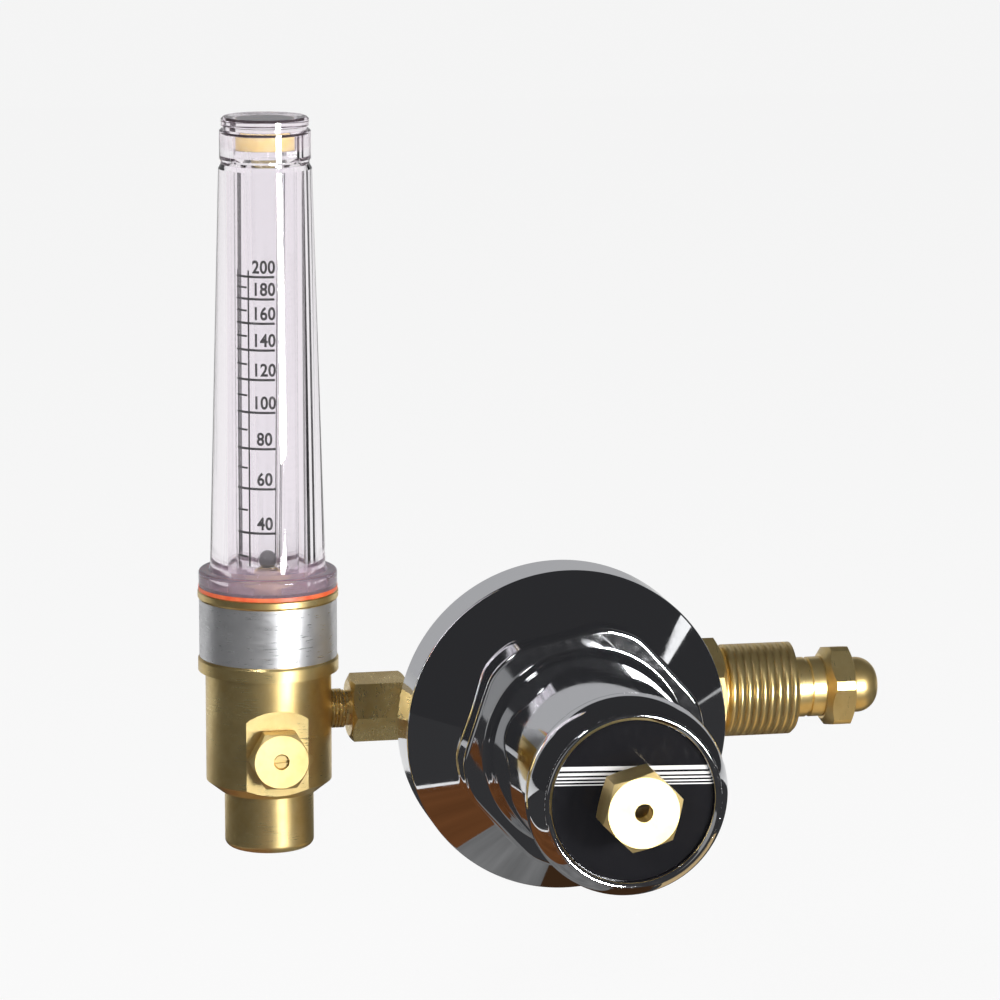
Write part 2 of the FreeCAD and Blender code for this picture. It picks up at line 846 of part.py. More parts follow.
meter_thread = cross(
    S.adaptor_thread_r + 0.05,
    S.core_to_meter - S.adaptor_far_end - 1,
    S.meter_r + 1,
)
meter_node("flowmeter_body", cut(
    meter_turned,
    forward(S.spotface_r, S.spotface_at, S.lip_r + 4, x=S.valve_shift, z=valve_z),
    rod(S.outlet_port_r, S.spigot_bottom - 1, S.spigot_bottom + S.outlet_port_deep),
    rod(S.centre_passage_r + 0.4, S.spigot_bottom, valve_z),
    rod(S.centre_passage_r, 0, S.well_floor + 1),
    return_passage,
    meter_inlet,
    meter_thread,
    forward(S.valve_seat_r, 0, S.valve_room_start, x=S.valve_shift, z=valve_z),
    forward(S.valve_side_r, S.valve_room_start, S.valve_room_end, x=S.valve_shift, z=valve_z),
    forward(S.valve_nut_thread_r + 0.05, S.valve_room_end, S.meter_r, x=S.valve_shift, z=valve_z),
))

# Silver label band lying in the collar groove.
meter_node("label_band", cut(
    rod(S.band_r, S.band_low + 0.1, S.band_high - 0.1),
    rod(S.band_r - S.band_thick, S.band_low, S.band_high),
))

# Red gasket between the collar and the shield flange.
shield_low = S.collar_top + S.gasket_thick
meter_node("shield_gasket", cut(
    rod(S.lip_r - 0.2, S.collar_top, shield_low),
    rod(S.well_r, S.collar_top - 1, shield_low + 1),
))

# Clear shield: flange, tapered tower, head and a closed cap in one moulding.
bore_low = S.shield_spigot_r - S.shield_wall
bore_high = S.shield_neck_r - S.shield_wall
spigot_low = S.well_floor + 0.8
ring_top = S.shield_neck + 1.2
meter_node("flow_shield", turned("shield_section", [
    (bore_low, spigot_low),
    (S.shield_spigot_r, spigot_low),
    (S.shield_spigot_r, shield_low),
    (S.shield_flange_r, shield_low),
    (S.shield_flange_r, S.shield_flange_top - 0.8, 0.8, 1),
    (S.shield_flange_r - 0.8, S.shield_flange_top),
    (S.shield_base_r + 0.5, S.shield_flange_top),
    (S.shield_base_r, S.shield_flange_top + 1.2),
    (S.shield_neck_r, S.shield_neck),
    (S.shield_ring_r, ring_top),
    (S.shield_ring_r, shield_head - 0.6),
    (S.shield_head_r, shield_head),
    (S.shield_head_r, shield_head_top - 0.4),
    (S.shield_head_r - 0.4, shield_head_top),
    (S.shield_cap_r - 0.5, shield_head_top),
    (S.shield_cap_r - 0.5, shield_head_top + 0.8),
    (S.shield_cap_r, shield_head_top + 1.0),
    (S.shield_cap_r, shield_top - 0.6),
    (S.shield_cap_r - 0.6, shield_top),
    (0, shield_top),
    (0, pad_top),
    (S.tube_r + 0.1, pad_top),
    (S.tube_r + 0.1, tube_top - 2),
    (bore_high, tube_top - 4),
]))

# Brass seat that carries the tube and lets the ball rest on its cone.
meter_node("ball_seat", cut(
    joined(
        rod(S.seat_stem_r, S.well_floor, S.seat_disc_low + 1),
        rod(S.seat_disc_r, S.seat_disc_low, S.seat_disc_high),
        rod(S.seat_stem_r, S.seat_disc_high - 0.5, S.seat_top - 1),
        cone(S.seat_stem_r, S.seat_cone_r, S.seat_top - 1, S.seat_top),
    ),
    rod(S.seat_bore_r, S.well_floor - 1, S.seat_top + 1),
))

# Sealing ring under the tube.
seal_top = S.seat_disc_high + S.tube_seal_thick
meter_node("tube_seal", cut(
    rod(S.seat_disc_r, S.seat_disc_high, seal_top),
    rod(S.seat_stem_r + 0.1, S.seat_disc_high - 1, seal_top + 1),
))

# Clear metering tube with a bore that widens upwards.
meter_node("metering_tube", cut(
    rod(S.tube_r, seal_top, tube_top),
    rod(S.tube_bore_low_r, seal_top - 1, S.tube_bore_start),
    cone(S.tube_taper_low_r, S.tube_taper_high_r, S.tube_bore_start - 0.01, tube_top + 0.01),
))

# Ball float resting on the edge of the seat bore.
ball_rest = S.seat_top + root(S.ball_r * S.ball_r - S.seat_bore_r * S.seat_bore_r) + 0.01
node("float_ball", ball(S.ball_r), x=meter_x, z=ball_rest)

# Resilient pad between the tube and the closed head of the shield.
meter_node("tube_pad", rod(S.pad_r, tube_top, pad_top))

# Flow valve nut screwed into the milled seat.
collar_end = S.spotface_at + S.valve_nut_collar
valve_hex = shared(
    prism(S.valve_nut_flats, collar_end, S.valve_nut_face),
    turned("valve_round", [
        (0, collar_end),
        (S.valve_nut_flats / 2 + 1.2, collar_end),
        (S.valve_nut_flats / 2 + 1.2, S.valve_nut_face - 0.9),
        (S.valve_nut_flats / 2 - 0.2, S.valve_nut_face),
        (0, S.valve_nut_face),
    ]),
)
valve_node("valve_nut", cut(
    joined(
        valve_hex,
        rod(S.valve_nut_flats / 2 - 0.3, S.spotface_at, collar_end + 0.5),
        rod(S.valve_nut_thread_r, S.valve_room_end, S.spotface_at + 0.5),
    ),
    rod(S.needle_r + S.run_clear, S.valve_room_end - 1, S.valve_nut_face + 1),
    rod(S.needle_r + S.seal_wire_r, S.valve_room_end - 1, S.seal_at + 3.6),
))

# Slotted needle that meters the outlet gas.
groove_r = S.needle_r - S.seal_wire_r - 0.05
valve_node("flow_needle", cut(
    turned("needle_turned", [
        (0, S.needle_tip),
        (0.5, S.needle_tip),
        (S.valve_seat_r + 0.3, S.valve_room_start + 0.8),
        (S.needle_r, S.valve_room_start + 3),
        (S.needle_r, S.seal_at - 0.7),
        (groove_r, S.seal_at - 0.7),
        (groove_r, S.seal_at + 0.7),
        (S.needle_r, S.seal_at + 0.7),
        (S.needle_r, S.needle_front - 0.3),
        (S.needle_r - 0.3, S.needle_front),
        (0, S.needle_front),
    ]),
    block(S.needle_r * 3, S.needle_slot, S.needle_front - 1, S.needle_front + 1),
))

# Sealing ring that rides in the needle groove.
seal_hoop = hoop(groove_r + S.seal_wire_r, S.seal_wire_r)
node("needle_seal", seal_hoop, x=valve_x, y=-S.seal_at, z=valve_z, turn=ALONG_MINUS_Y)

doc.recompute()

os.makedirs("parts", exist_ok=True)
for thing in doc.Objects:
    if "Invalid" in thing.State or "Error" in thing.State:
        raise RuntimeError("%s did not build" % thing.Name)
for thing in NODES:
    if thing.Shape.isNull() or not thing.Shape.isValid():
        raise RuntimeError("%s is not sound" % thing.Label)
    if len(thing.Shape.Solids) != 1:
        raise RuntimeError("%s has %d solids" % (thing.Label, len(thing.Shape.Solids)))
    thing.Shape.exportStep("parts/%s.step" % thing.Label)
    box = thing.Shape.BoundBox
    print("%-18s %9.1f mm3  x %.1f..%.1f  y %.1f..%.1f  z %.1f..%.1f" % (
        thing.Label, thing.Shape.Volume,
        box.XMin, box.XMax, box.YMin, box.YMax, box.ZMin, box.ZMax,
    ))
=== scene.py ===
# %% [markdown]
# # A cylinder regulator with a flowmeter
# The part comes from CAD as a fixed frame, and this lesson dresses it.
# The chrome bonnet, the threads and the printed scale are made here, because they need finer shapes
# than the solids have. Everything else keeps its solid and gets a better finish.

# %% Load the frame
import math
import bmesh
import bpy
import numpy as np
from mathutils import Matrix, Vector


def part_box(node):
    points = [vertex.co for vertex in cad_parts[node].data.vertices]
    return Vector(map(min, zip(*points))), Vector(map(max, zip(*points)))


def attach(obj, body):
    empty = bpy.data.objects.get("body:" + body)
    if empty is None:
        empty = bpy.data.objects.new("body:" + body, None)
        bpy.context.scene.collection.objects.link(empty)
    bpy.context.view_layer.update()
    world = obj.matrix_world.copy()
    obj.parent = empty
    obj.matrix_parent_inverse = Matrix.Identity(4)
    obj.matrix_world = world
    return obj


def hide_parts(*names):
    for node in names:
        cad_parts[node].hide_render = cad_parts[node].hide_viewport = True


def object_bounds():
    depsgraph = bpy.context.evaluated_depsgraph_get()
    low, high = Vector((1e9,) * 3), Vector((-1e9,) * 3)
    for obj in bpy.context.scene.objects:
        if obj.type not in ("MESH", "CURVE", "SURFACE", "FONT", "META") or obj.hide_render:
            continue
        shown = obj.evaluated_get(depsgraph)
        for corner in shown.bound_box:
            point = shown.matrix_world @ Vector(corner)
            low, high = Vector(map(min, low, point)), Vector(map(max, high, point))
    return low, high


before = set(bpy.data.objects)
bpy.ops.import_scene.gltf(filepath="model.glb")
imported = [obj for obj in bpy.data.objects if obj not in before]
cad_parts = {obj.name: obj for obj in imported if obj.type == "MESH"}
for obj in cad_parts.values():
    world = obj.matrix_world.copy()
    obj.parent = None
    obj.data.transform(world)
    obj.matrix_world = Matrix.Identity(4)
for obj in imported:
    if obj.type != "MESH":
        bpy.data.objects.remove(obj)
solids_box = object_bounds()
MM = 0.001
print("solids from", tuple(solids_box[0]), "to", tuple(solids_box[1]))


# %% [markdown]
# ## Places taken from the solids
# Pieces are placed from the boxes of the solids they belong to, so a shift in CAD moves the dressing too.
# The bell's section, the threads and the law of the scale are numbers of their own.
# Three turning axes matter: the bonnet's, which points at the reader, the inlet's, which points right,
# and the flowmeter's, which points up.

# %% Axes of the object
def middle(name):
    low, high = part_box(name)
    return (low + high) / 2


def span(name):
    low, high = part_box(name)
    return high - low


core_x = middle("bonnet").x
meter_x = middle("flowmeter_body").x
tube_radius = span("metering_tube").x / 2
print("bonnet axis x", core_x, "flowmeter axis x", meter_x, "tube radius", tube_radius)


# %% [markdown]
# ## Node maths as plain Python
# A finish is a tree of nodes, and long trees are hard to read when every link is written out.
# One small class wraps a socket, so that adding or multiplying two of them adds the Math node by itself.
# A second class wraps a tree. Its add method takes a node's type, its settings and its sockets' values.

# %% The socket and the tree
class Wire:
    def __init__(self, tree, socket):
        self.tree = tree
        self.socket = socket

    def worked(self, operation, *values):
        return self.tree.made("ShaderNodeMath", {"operation": operation}, dict(enumerate(values)))

    def __add__(self, other):
        return self.worked("ADD", self, other)

    def __sub__(self, other):
        return self.worked("SUBTRACT", self, other)

    def __rsub__(self, other):
        return self.worked("SUBTRACT", other, self)

    def __mul__(self, other):
        return self.worked("MULTIPLY", self, other)

    def __truediv__(self, other):
        return self.worked("DIVIDE", self, other)

    def __lt__(self, other):
        return self.worked("LESS_THAN", self, other)

    def __gt__(self, other):
        return self.worked("GREATER_THAN", self, other)

    def __abs__(self):
        return self.worked("ABSOLUTE", self)

    def at_most(self, other):
        return self.worked("MINIMUM", self, other)

    def at_least(self, other):
        return self.worked("MAXIMUM", self, other)

    __radd__ = __add__
    __rmul__ = __mul__


class Tree:
    def __init__(self, group):
        self.group = group
        self.group.nodes.clear()

    def add(self, kind, settings=None, values=None):
        node = self.group.nodes.new(kind)
        for key, setting in (settings or {}).items():
            setattr(node, key, setting)
        for key, value in (values or {}).items():
            self.feed(node, key, value)
        return node

    def feed(self, node, key, value):
        if isinstance(value, Wire):
            value = value.socket
        if isinstance(value, bpy.types.NodeSocket):
            self.group.links.new(value, node.inputs[key])
        else:
            node.inputs[key].default_value = value

    def made(self, kind, settings=None, values=None, output=0):
        return Wire(self, self.add(kind, settings, values).outputs[output])


print("maths on a socket:", [name for name in vars(Wire) if callable(getattr(Wire, name))])


# %% [markdown]
# ## A finish
# A finish is the tree of one material, with the few patterns that the pieces here share.
# Patterns read Object coordinates in metres, so a grain keeps its real size on every piece.
# Image textures could do the same, but they would need a picture of each metal and a seam on each piece.

# %% The finish class
class Finish(Tree):
    def __init__(self, name, kind="ShaderNodeBsdfPrincipled", **sockets):
        self.material = bpy.data.materials.new(name)
        self.material.use_nodes = True
        super().__init__(self.material.node_tree)
        self.surface = self.add(kind)
        self.out = self.add("ShaderNodeOutputMaterial", {}, {"Surface": self.surface.outputs[0]})
        self.places = self.made("ShaderNodeTexCoord", output="Object")
        self.drive(**sockets)

    def drive(self, **sockets):
        for key, value in sockets.items():
            self.feed(self.surface, key.replace("_", " "), value)

    def noise(self, scale, stretch=(1, 1, 1), detail=2.0, rough=0.5):
        stretched = self.made("ShaderNodeMapping", {}, {"Vector": self.places, "Scale": stretch})
        return self.made("ShaderNodeTexNoise", {}, {
            "Vector": stretched, "Scale": scale, "Detail": detail, "Roughness": rough})

    def ranged(self, value, low, high, new_low, new_high):
        return self.made("ShaderNodeMapRange", {}, {
            "Value": value, "From Min": low, "From Max": high, "To Min": new_low, "To Max": new_high})

    def mixed(self, mask, first, second):
        return self.made("ShaderNodeMix", {"data_type": "RGBA"}, {0: mask, 6: first, 7: second}, output=2)

    def bumped(self, height, strength, distance):
        self.drive(Normal=self.made("ShaderNodeBump", {}, {
            "Height": height, "Strength": strength, "Distance": distance}))

    def blend(self, mask, other):
        mix = self.add("ShaderNodeMixShader", {}, {
            0: mask, 1: self.surface.outputs[0], 2: other.outputs[0]})
        self.feed(self.out, "Surface", mix.outputs[0])

    def axes(self):
        node = self.add("ShaderNodeSeparateXYZ", {}, {0: self.places})
        return [Wire(self, socket) for socket in node.outputs]


def shaded(colour, share):
    return tuple(share * part for part in colour[:3]) + (1,)


print("a finish can be:", [name for name in vars(Finish) if not name.startswith("_")])


# %% [markdown]
# ## Brass
# The body, the fittings and the nuts are raw brass from a lathe or a mill, a little dulled by handling.
# A turned face carries rings around its own axis, so the grain is a noise squeezed along that axis.
# The metal darkens slightly in broad patches, where the air has started to tan it.

# %% Brass finishes
BRASS_BRIGHT = (0.92, 0.72, 0.33, 1)
BRASS_TANNED = (0.72, 0.50, 0.18, 1)
RINGS, LONG = 5600, 160


def brass(name, grain, roughness, depth):
    made = Finish(name, Metallic=0.93)
    patches = made.noise(90, detail=4.0, rough=0.6)
    rings = made.noise(1.0, stretch=grain, detail=3.0, rough=0.7)
    tan = made.ranged(patches, 0.40, 0.72, 0.0, 0.8)
    made.drive(Base_Color=made.mixed(tan, BRASS_BRIGHT, BRASS_TANNED))
    wear = rings * 0.6 + patches * 0.4
    made.drive(Roughness=made.ranged(wear, 0.3, 0.7, roughness - 0.06, roughness + 0.10))
    made.bumped(rings, 0.25, depth * MM)
    return made.material


along_x = brass("brass_turned_along_inlet", (RINGS, LONG, LONG), 0.31, 0.030)
along_y = brass("brass_turned_along_bonnet", (LONG, RINGS, LONG), 0.31, 0.030)
along_z = brass("brass_turned_along_flowmeter", (LONG, LONG, RINGS), 0.30, 0.035)
milled = brass("brass_milled", (1500, 500, 500), 0.26, 0.008)
faced = brass("brass_faced_nut", (900, 900, 900), 0.42, 0.015)
print("brass:", [made.name for made in (along_x, along_y, along_z, milled, faced)])


# %% [markdown]
# ## Chrome
# The bonnet is a plated casting. Plating is a mirror, but the casting under it was polished by hand.
# A very shallow, broad bump makes the reflections waver, and a fine noise in the roughness stands for
# rubbing marks. A flat mirror would look like a drawing, because no real casting is that true.

# %% Chrome finish
chrome = Finish("chrome_plate", Metallic=1.0, Base_Color=(0.83, 0.84, 0.86, 1))
rubbing = chrome.noise(420, stretch=(1, 0.25, 1), detail=5.0, rough=0.65)
chrome.drive(Roughness=chrome.ranged(rubbing, 0.35, 0.75, 0.025, 0.085))
chrome.bumped(chrome.noise(55, detail=1.0), 0.10, 0.10 * MM)
print("chrome nodes:", len(chrome.group.nodes))


# %% [markdown]
# ## The label disc and its stripes
# A gloss black disc lies in the cap's recess, printed with five white stripes that get thinner downwards.
# Geometry for a print has no thickness worth building, so the stripes are a mask in the material.
# The mask is worked out from the distance to each stripe, and the disc was stuck on with a slight turn.

# %% Label disc finish
STRIPES = ((8.10, 1.02), (6.72, 0.66), (5.72, 0.46), (4.86, 0.36), (4.08, 0.30))
DISC_TURN = math.radians(1.9)
DISC_BLACK, STRIPE_WHITE = (0.012, 0.012, 0.014, 1), (0.82, 0.82, 0.83, 1)

disc = Finish("label_disc_gloss", Specular_IOR_Level=0.16)
x, _, z = disc.axes()
height = (x - core_x) * math.sin(DISC_TURN) + z * math.cos(DISC_TURN)
printed = sum(abs(height - centre * MM) < width * MM / 2 for centre, width in STRIPES)
scuffs = disc.noise(700, stretch=(1, 1, 0.3), detail=6.0, rough=0.7)
disc.drive(Base_Color=disc.mixed(printed, DISC_BLACK, STRIPE_WHITE))
disc.drive(Roughness=disc.ranged(scuffs, 0.45, 0.75, 0.07, 0.22) + printed * 0.15)
print("stripes on the disc:", len(STRIPES))


# %% [markdown]
# ## Foil
# The silver band is satin foil around the collar. It is brushed along its length, so the grain is squeezed
# in height, and it was pressed on by hand, so a shallow crinkle runs through the grain.

# %% Foil finish
foil = Finish("silver_foil", Metallic=0.85)
brushing = foil.noise(1.0, stretch=(260, 260, 3600), detail=3.0)
crinkle = foil.noise(160, detail=2.0)
foil.drive(Base_Color=foil.mixed(
    foil.ranged(crinkle, 0.4, 0.7, 0, 1), (0.74, 0.745, 0.76, 1), (0.64, 0.645, 0.66, 1)))
foil.drive(Roughness=foil.ranged(brushing, 0.3, 0.7, 0.26, 0.40))
foil.bumped(crinkle * 0.5 + brushing * 0.5, 0.25, 0.10 * MM)
print("foil nodes:", len(foil.group.nodes))


# %% [markdown]
# ## Rubber and ink
# The gasket is orange red silicone, the pad in the head of the shield is a cream rubber, and the seals are
# black. All are moulded, with a cloudy colour and a fine tooth. The ink of the scale is as matt as they are.

# %% Rubber finishes
def rubber(name, colour, faded, roughness):
    made = Finish(name, Metallic=0.0)
    cloud = made.noise(300, detail=4.0)
    made.drive(Base_Color=made.mixed(made.ranged(cloud, 0.35, 0.7, 0, 1), colour, faded))
    made.drive(Roughness=made.ranged(cloud, 0.3, 0.7, roughness - 0.08, roughness + 0.08))
    made.bumped(made.noise(2600, detail=3.0), 0.2, 0.03 * MM)
    return made.material


gasket_red = rubber("gasket_red", (0.74, 0.10, 0.03, 1), (0.86, 0.20, 0.07, 1), 0.40)
pad_cream = rubber("pad_cream", (0.93, 0.70, 0.20, 1), (0.96, 0.80, 0.36, 1), 0.55)
seal_black = rubber("seal_black", (0.02, 0.02, 0.02, 1), (0.04, 0.04, 0.04, 1), 0.50)
ink = rubber("scale_ink", (0.006, 0.006, 0.007, 1), (0.015, 0.015, 0.016, 1), 0.45)
print("rubber:", [made.name for made in (gasket_red, pad_cream, seal_black, ink)])


# %% [markdown]
# ## Steels, bronze and the ball
# The springs, the screw and the small plates inside are steel, and the filter is sintered bronze.
# Drawing and rolling leave a lay in one direction, so the noise is stretched and darkens the colour a little.
# The ball of the flowmeter is dark and polished: nearly black, with a clear gloss over it.

# %% Steel finishes
WORN = 0.8


def steel(name, colour, roughness):
    made = Finish(name, Metallic=1.0)
    lay = made.noise(900, stretch=(1, 0.2, 1), detail=4.0)
    made.drive(Base_Color=made.mixed(made.ranged(lay, 0.4, 0.8, 0, 1), colour, shaded(colour, WORN)))
    made.drive(Roughness=made.ranged(lay, 0.3, 0.7, roughness - 0.05, roughness + 0.08))
    return made.material


steel_plain = steel("steel_zinc_plated", (0.62, 0.62, 0.63, 1), 0.32)
steel_spring = steel("steel_spring_wire", (0.45, 0.45, 0.47, 1), 0.28)
bronze = steel("bronze_sintered", (0.42, 0.28, 0.12, 1), 0.60)

ball_dark = Finish("ball_dark_polished", IOR=1.9)
spots = ball_dark.noise(1500, detail=3.0)
ball_dark.drive(Base_Color=ball_dark.mixed(
    ball_dark.ranged(spots, 0.4, 0.7, 0, 1), (0.012, 0.012, 0.013, 1), (0.03, 0.03, 0.033, 1)))
ball_dark.drive(Roughness=ball_dark.ranged(spots, 0.3, 0.7, 0.05, 0.12))
print("steel:", [made.name for made in (steel_plain, steel_spring, bronze, ball_dark.material)])


# %% [markdown]
# ## Clear plastic
# The shield and the tube are solid clear mouldings with real walls, so a light path bends in them as it
# should. The shield has a faint lilac cast, and fine ripples of the mould go into the normal only.
# Its thick flange and its head are milky, because there a look goes through much more plastic. A second,
# cloudy shader is mixed in there by height, since one clear shader would leave the flange black.

# %% Clear finishes
FLANGE_THICK, FLANGE_HAZE, HEAD_HAZE = 6.5, 0.26, 0.09


def clear(name, colour, ior, ripple):
    made = Finish(name, IOR=ior, Transmission_Weight=1.0, Base_Color=colour)
    made.drive(Roughness=made.ranged(made.noise(240, detail=3.0), 0.3, 0.7, 0.0, 0.03))
    made.bumped(made.noise(1.0, stretch=(380, 380, 12), detail=1.0), ripple, 0.02 * MM)
    return made


shield_clear = clear("shield_clear_lilac", (0.972, 0.940, 0.970, 1), 1.49, 0.20)
haze = shield_clear.add("ShaderNodeBsdfPrincipled", {}, {
    "Base Color": (0.88, 0.68, 0.82, 1), "Transmission Weight": 0.35, "IOR": 1.2, "Roughness": 0.12})
_, _, up = shield_clear.axes()
flange_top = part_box("shield_gasket")[1].z + FLANGE_THICK * MM
head_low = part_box("tube_pad")[0].z
shield_clear.blend((up < flange_top) * FLANGE_HAZE + (up > head_low) * HEAD_HAZE, haze)
tube_clear = clear("tube_clear", (0.985, 0.985, 0.99, 1), 1.47, 0.10)
print("haze below", flange_top, "and above", head_low)


# %% [markdown]
# ## Giving the solids their finishes
# A solid's mesh is never edited. Its object's material slot is simply given the new finish.
# Which brass a piece gets follows from how it is made: turned along its own axis, milled, or faced.

# %% Paint the solids
FINISH_OF = {
    "regulator_body": along_y, "valve_plug": faced, "valve_seat": along_y, "cap_nut": faced,
    "flowmeter_body": along_z, "ball_seat": along_z, "valve_nut": faced, "flow_needle": along_y,
    "inlet_nipple": along_x, "inlet_nut": along_x, "outlet_adaptor": milled,
    "bonnet": chrome.material, "bonnet_label": disc.material, "label_band": foil.material,
    "shield_gasket": gasket_red, "flow_shield": shield_clear.material, "metering_tube": tube_clear.material,
    "tube_seal": seal_black, "needle_seal": seal_black, "diaphragm": seal_black,
    "tube_pad": pad_cream, "float_ball": ball_dark.material, "inlet_filter": bronze,
    "adjusting_screw": steel_plain, "spring_button": steel_plain, "diaphragm_plate": steel_plain,
    "slip_ring": steel_plain, "poppet": steel_plain, "main_spring": steel_spring,
    "closing_spring": steel_spring,
}


def finish_piece(piece, material):
    for material_slot in piece.material_slots:
        material_slot.material = material
    if not piece.material_slots:
        piece.data.materials.append(material)


for name, material in FINISH_OF.items():
    finish_piece(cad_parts[name], material)
print("solids painted:", len(FINISH_OF), "of", len(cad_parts))


# %% [markdown]
# ## The bonnet with its rounded edges
# On a chrome casting the edges are what one sees: each is a small round that catches a bright line.
# A bevel on the solid's triangles would be rough, so the bell is laid out again as a grid.
# Each spoke of the grid is the bell's section in one direction, with rounded corners. Where the spoke
# crosses the wrench hexagon its radius follows the flats, so the hexagon grows out of the cone as it does
# on the real bell.

# %% Section corners of the bell
SPOKES = 480
angles = np.linspace(0, 2 * math.pi, SPOKES, endpoint=False)
HEX_FLAT, HEX_ROUND, HEX_MIDDLE, HEX_SPIN = 29.3, 31.3, 30, math.radians(18)
SHARP = 2.2
to_flat = (angles - HEX_SPIN) % (math.pi / 3) - math.pi / 6
flat_reach = HEX_FLAT / np.cos(to_flat)

# A smooth minimum of the flats and a round keeps the hexagon's corners soft.
hexagon = HEX_MIDDLE - np.log(
    np.exp(-SHARP * (flat_reach - HEX_MIDDLE)) + np.exp(-SHARP * (HEX_ROUND - HEX_MIDDLE))) / SHARP
CONE_FOOT, CONE_TOP = (41.3, 35.3), (31.3, 45.7)
cone_slope = (CONE_TOP[1] - CONE_FOOT[1]) / (CONE_FOOT[0] - CONE_TOP[0])
root_height = CONE_FOOT[1] + (CONE_FOOT[0] - hexagon) * cone_slope

# Each corner is a radius, a height in front of the port axis, and how far its rounding reaches.
corners = [
    (38.1, 21.0, 0.2), (41.75, 21.0, 0.6), (41.8, 35.1, 0.6), (hexagon, root_height, 0.9),
    (hexagon, 55.0, 0.9), (25.9, 55.1, 0.5), (24.7, 57.3, 0.8), (23.1, 98.3, 0.4), (24.5, 98.95, 0.2),
    (25.0, 99.5, 0.35), (25.07, 104.86, 4.6), (21.5, 108.9, 0.6), (20.15, 108.4, 0.3), (20.1, 106.8, 0.1),
    (7.05, 106.8, 0.1), (7.05, 103.0, 0.1), (20.4, 103.0, 0.5), (20.4, 44.7, 0.5), (32.8, 37.5, 0.3),
    (32.8, 35.4, 0.1), (38.1, 35.4, 0.1),
]
print("hexagon reaches from", hexagon.min().round(2), "to", hexagon.max().round(2), "mm")


# %% [markdown]
# ## Rounding a section
# A corner is replaced by a short curve between two points, one on each side of it.
# The Bevel modifier rounds whole edges by one width, but here an edge can fade out along its way.
# Straight runs get an extra row close to each end, so that smooth shading stays flat on the flats.

# %% Rows of the grid
ROUND_STEPS = 6
BROAD_ROUND = 2
SHADE_HOLD = 0.12


def spoke_rows(outline):
    points = np.array([
        [np.broadcast_to(radius, SPOKES), np.broadcast_to(forward, SPOKES)]
        for radius, forward, _ in outline], float)
    rows = []
    for i, (here, (_, _, reach)) in enumerate(zip(points, outline)):
        before, after = points[i - 1], points[(i + 1) % len(points)]
        back = (before - here) / np.linalg.norm(before - here, axis=0)
        onward = (after - here) / np.linalg.norm(after - here, axis=0)
        start, end = here + back * reach, here + onward * reach
        rows.append(start + back * SHADE_HOLD)
        for u in np.linspace(0, 1, ROUND_STEPS if reach < BROAD_ROUND else 2 * ROUND_STEPS):
            rows.append((1 - u) ** 2 * start + 2 * u * (1 - u) * here + u ** 2 * end)
        rows.append(end + onward * SHADE_HOLD)
    return np.array(rows)


bell_rows = spoke_rows(corners)
print("rows of the bell:", len(bell_rows))


# %% [markdown]
# ## Weaving the grid into a bell
# Every row meets the next one, and the last row meets the first, so the bell is one closed wall.
# Its faces are then turned outwards. The test is its volume, which is below zero when it is inside out.

# %% The bell
def woven(name, rows):
    count = len(rows)
    radius, forward = rows[:, 0, :], rows[:, 1, :]
    spots = np.stack([
        core_x / MM + radius * np.sin(angles), -forward, radius * np.cos(angles),
    ], axis=-1).reshape(-1, 3) * MM
    faces = []
    for row in range(count):
        this, above = row * SPOKES, (row + 1) % count * SPOKES
        for spoke in range(SPOKES):
            there = (spoke + 1) % SPOKES
            faces.append((this + spoke, this + there, above + there, above + spoke))
    mesh = bpy.data.meshes.new(name)
    mesh.from_pydata(spots.tolist(), [], faces)
    mesh.update()
    return mesh


def outward(mesh):
    shell = bmesh.new()
    shell.from_mesh(mesh)
    bmesh.ops.recalc_face_normals(shell, faces=shell.faces)
    if shell.calc_volume(signed=True) < 0:
        bmesh.ops.reverse_faces(shell, faces=shell.faces)
    shell.to_mesh(mesh)
    shell.free()


def linked(name, data):
    thing = bpy.data.objects.new(name, data)
    bpy.context.scene.collection.objects.link(thing)
    return thing


def shown(name, mesh, material, body, smooth=True):
    piece = linked(name, mesh)
    mesh.polygons.foreach_set("use_smooth", [smooth] * len(mesh.polygons))
    mesh.materials.clear()
    mesh.materials.append(material)
    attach(piece, body)
    return piece


bell_mesh = woven("bonnet_bell", bell_rows)
outward(bell_mesh)
bell = shown("bonnet_bell", bell_mesh, chrome.material, "regulator")
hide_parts("bonnet")
print("bell faces", len(bell_mesh.polygons))


# %% [markdown]
# ## A tree for Geometry Nodes
# What repeats by a rule is grown by Geometry Nodes. Each tree starts in the same way: with named inputs
# for its sizes. Each ends in the same way too: what it grew is made real and is given its finish.

# %% The start and the end of a tree
def started(name, inputs):
    group = bpy.data.node_groups.new(name, "GeometryNodeTree")
    for label, kind in inputs.items():
        group.interface.new_socket(label, in_out="INPUT", socket_type="NodeSocket" + kind)
    group.interface.new_socket("Geometry", in_out="OUTPUT", socket_type="NodeSocketGeometry")
    tree = Tree(group)
    given = tree.add("NodeGroupInput")
    return tree, {label: Wire(tree, given.outputs[label]) for label in inputs}


def ended(tree, grown_shape, material):
    real = tree.made("GeometryNodeRealizeInstances", {}, {0: grown_shape})
    painted = tree.made("GeometryNodeSetMaterial", {}, {"Geometry": real, "Material": material})
    tree.add("NodeGroupOutput", {}, {0: painted})
    print(tree.group.name, "nodes:", len(tree.group.nodes))
    return tree


# %% [markdown]
# ## Threads
# The inlet nut and the adaptor carry fine screw threads. In CAD they are plain cylinders at their outside
# size. Here a copy of the piece is taken in to the foot of the thread, and one ridge is wound around it.
# A ridge follows a rule, so a small tree winds a spiral, sets its normals, tapers its ends and sweeps a
# trapezoid. The Screw modifier could do it as well, but it has no taper, and a real thread fades out.

# %% The ridge tree
STEPS_A_TURN = 56
FADES_A_TURN, THINNEST = 2.0, 0.05
RIDGE_FOOT, RIDGE_CREST = 0.96, 0.20


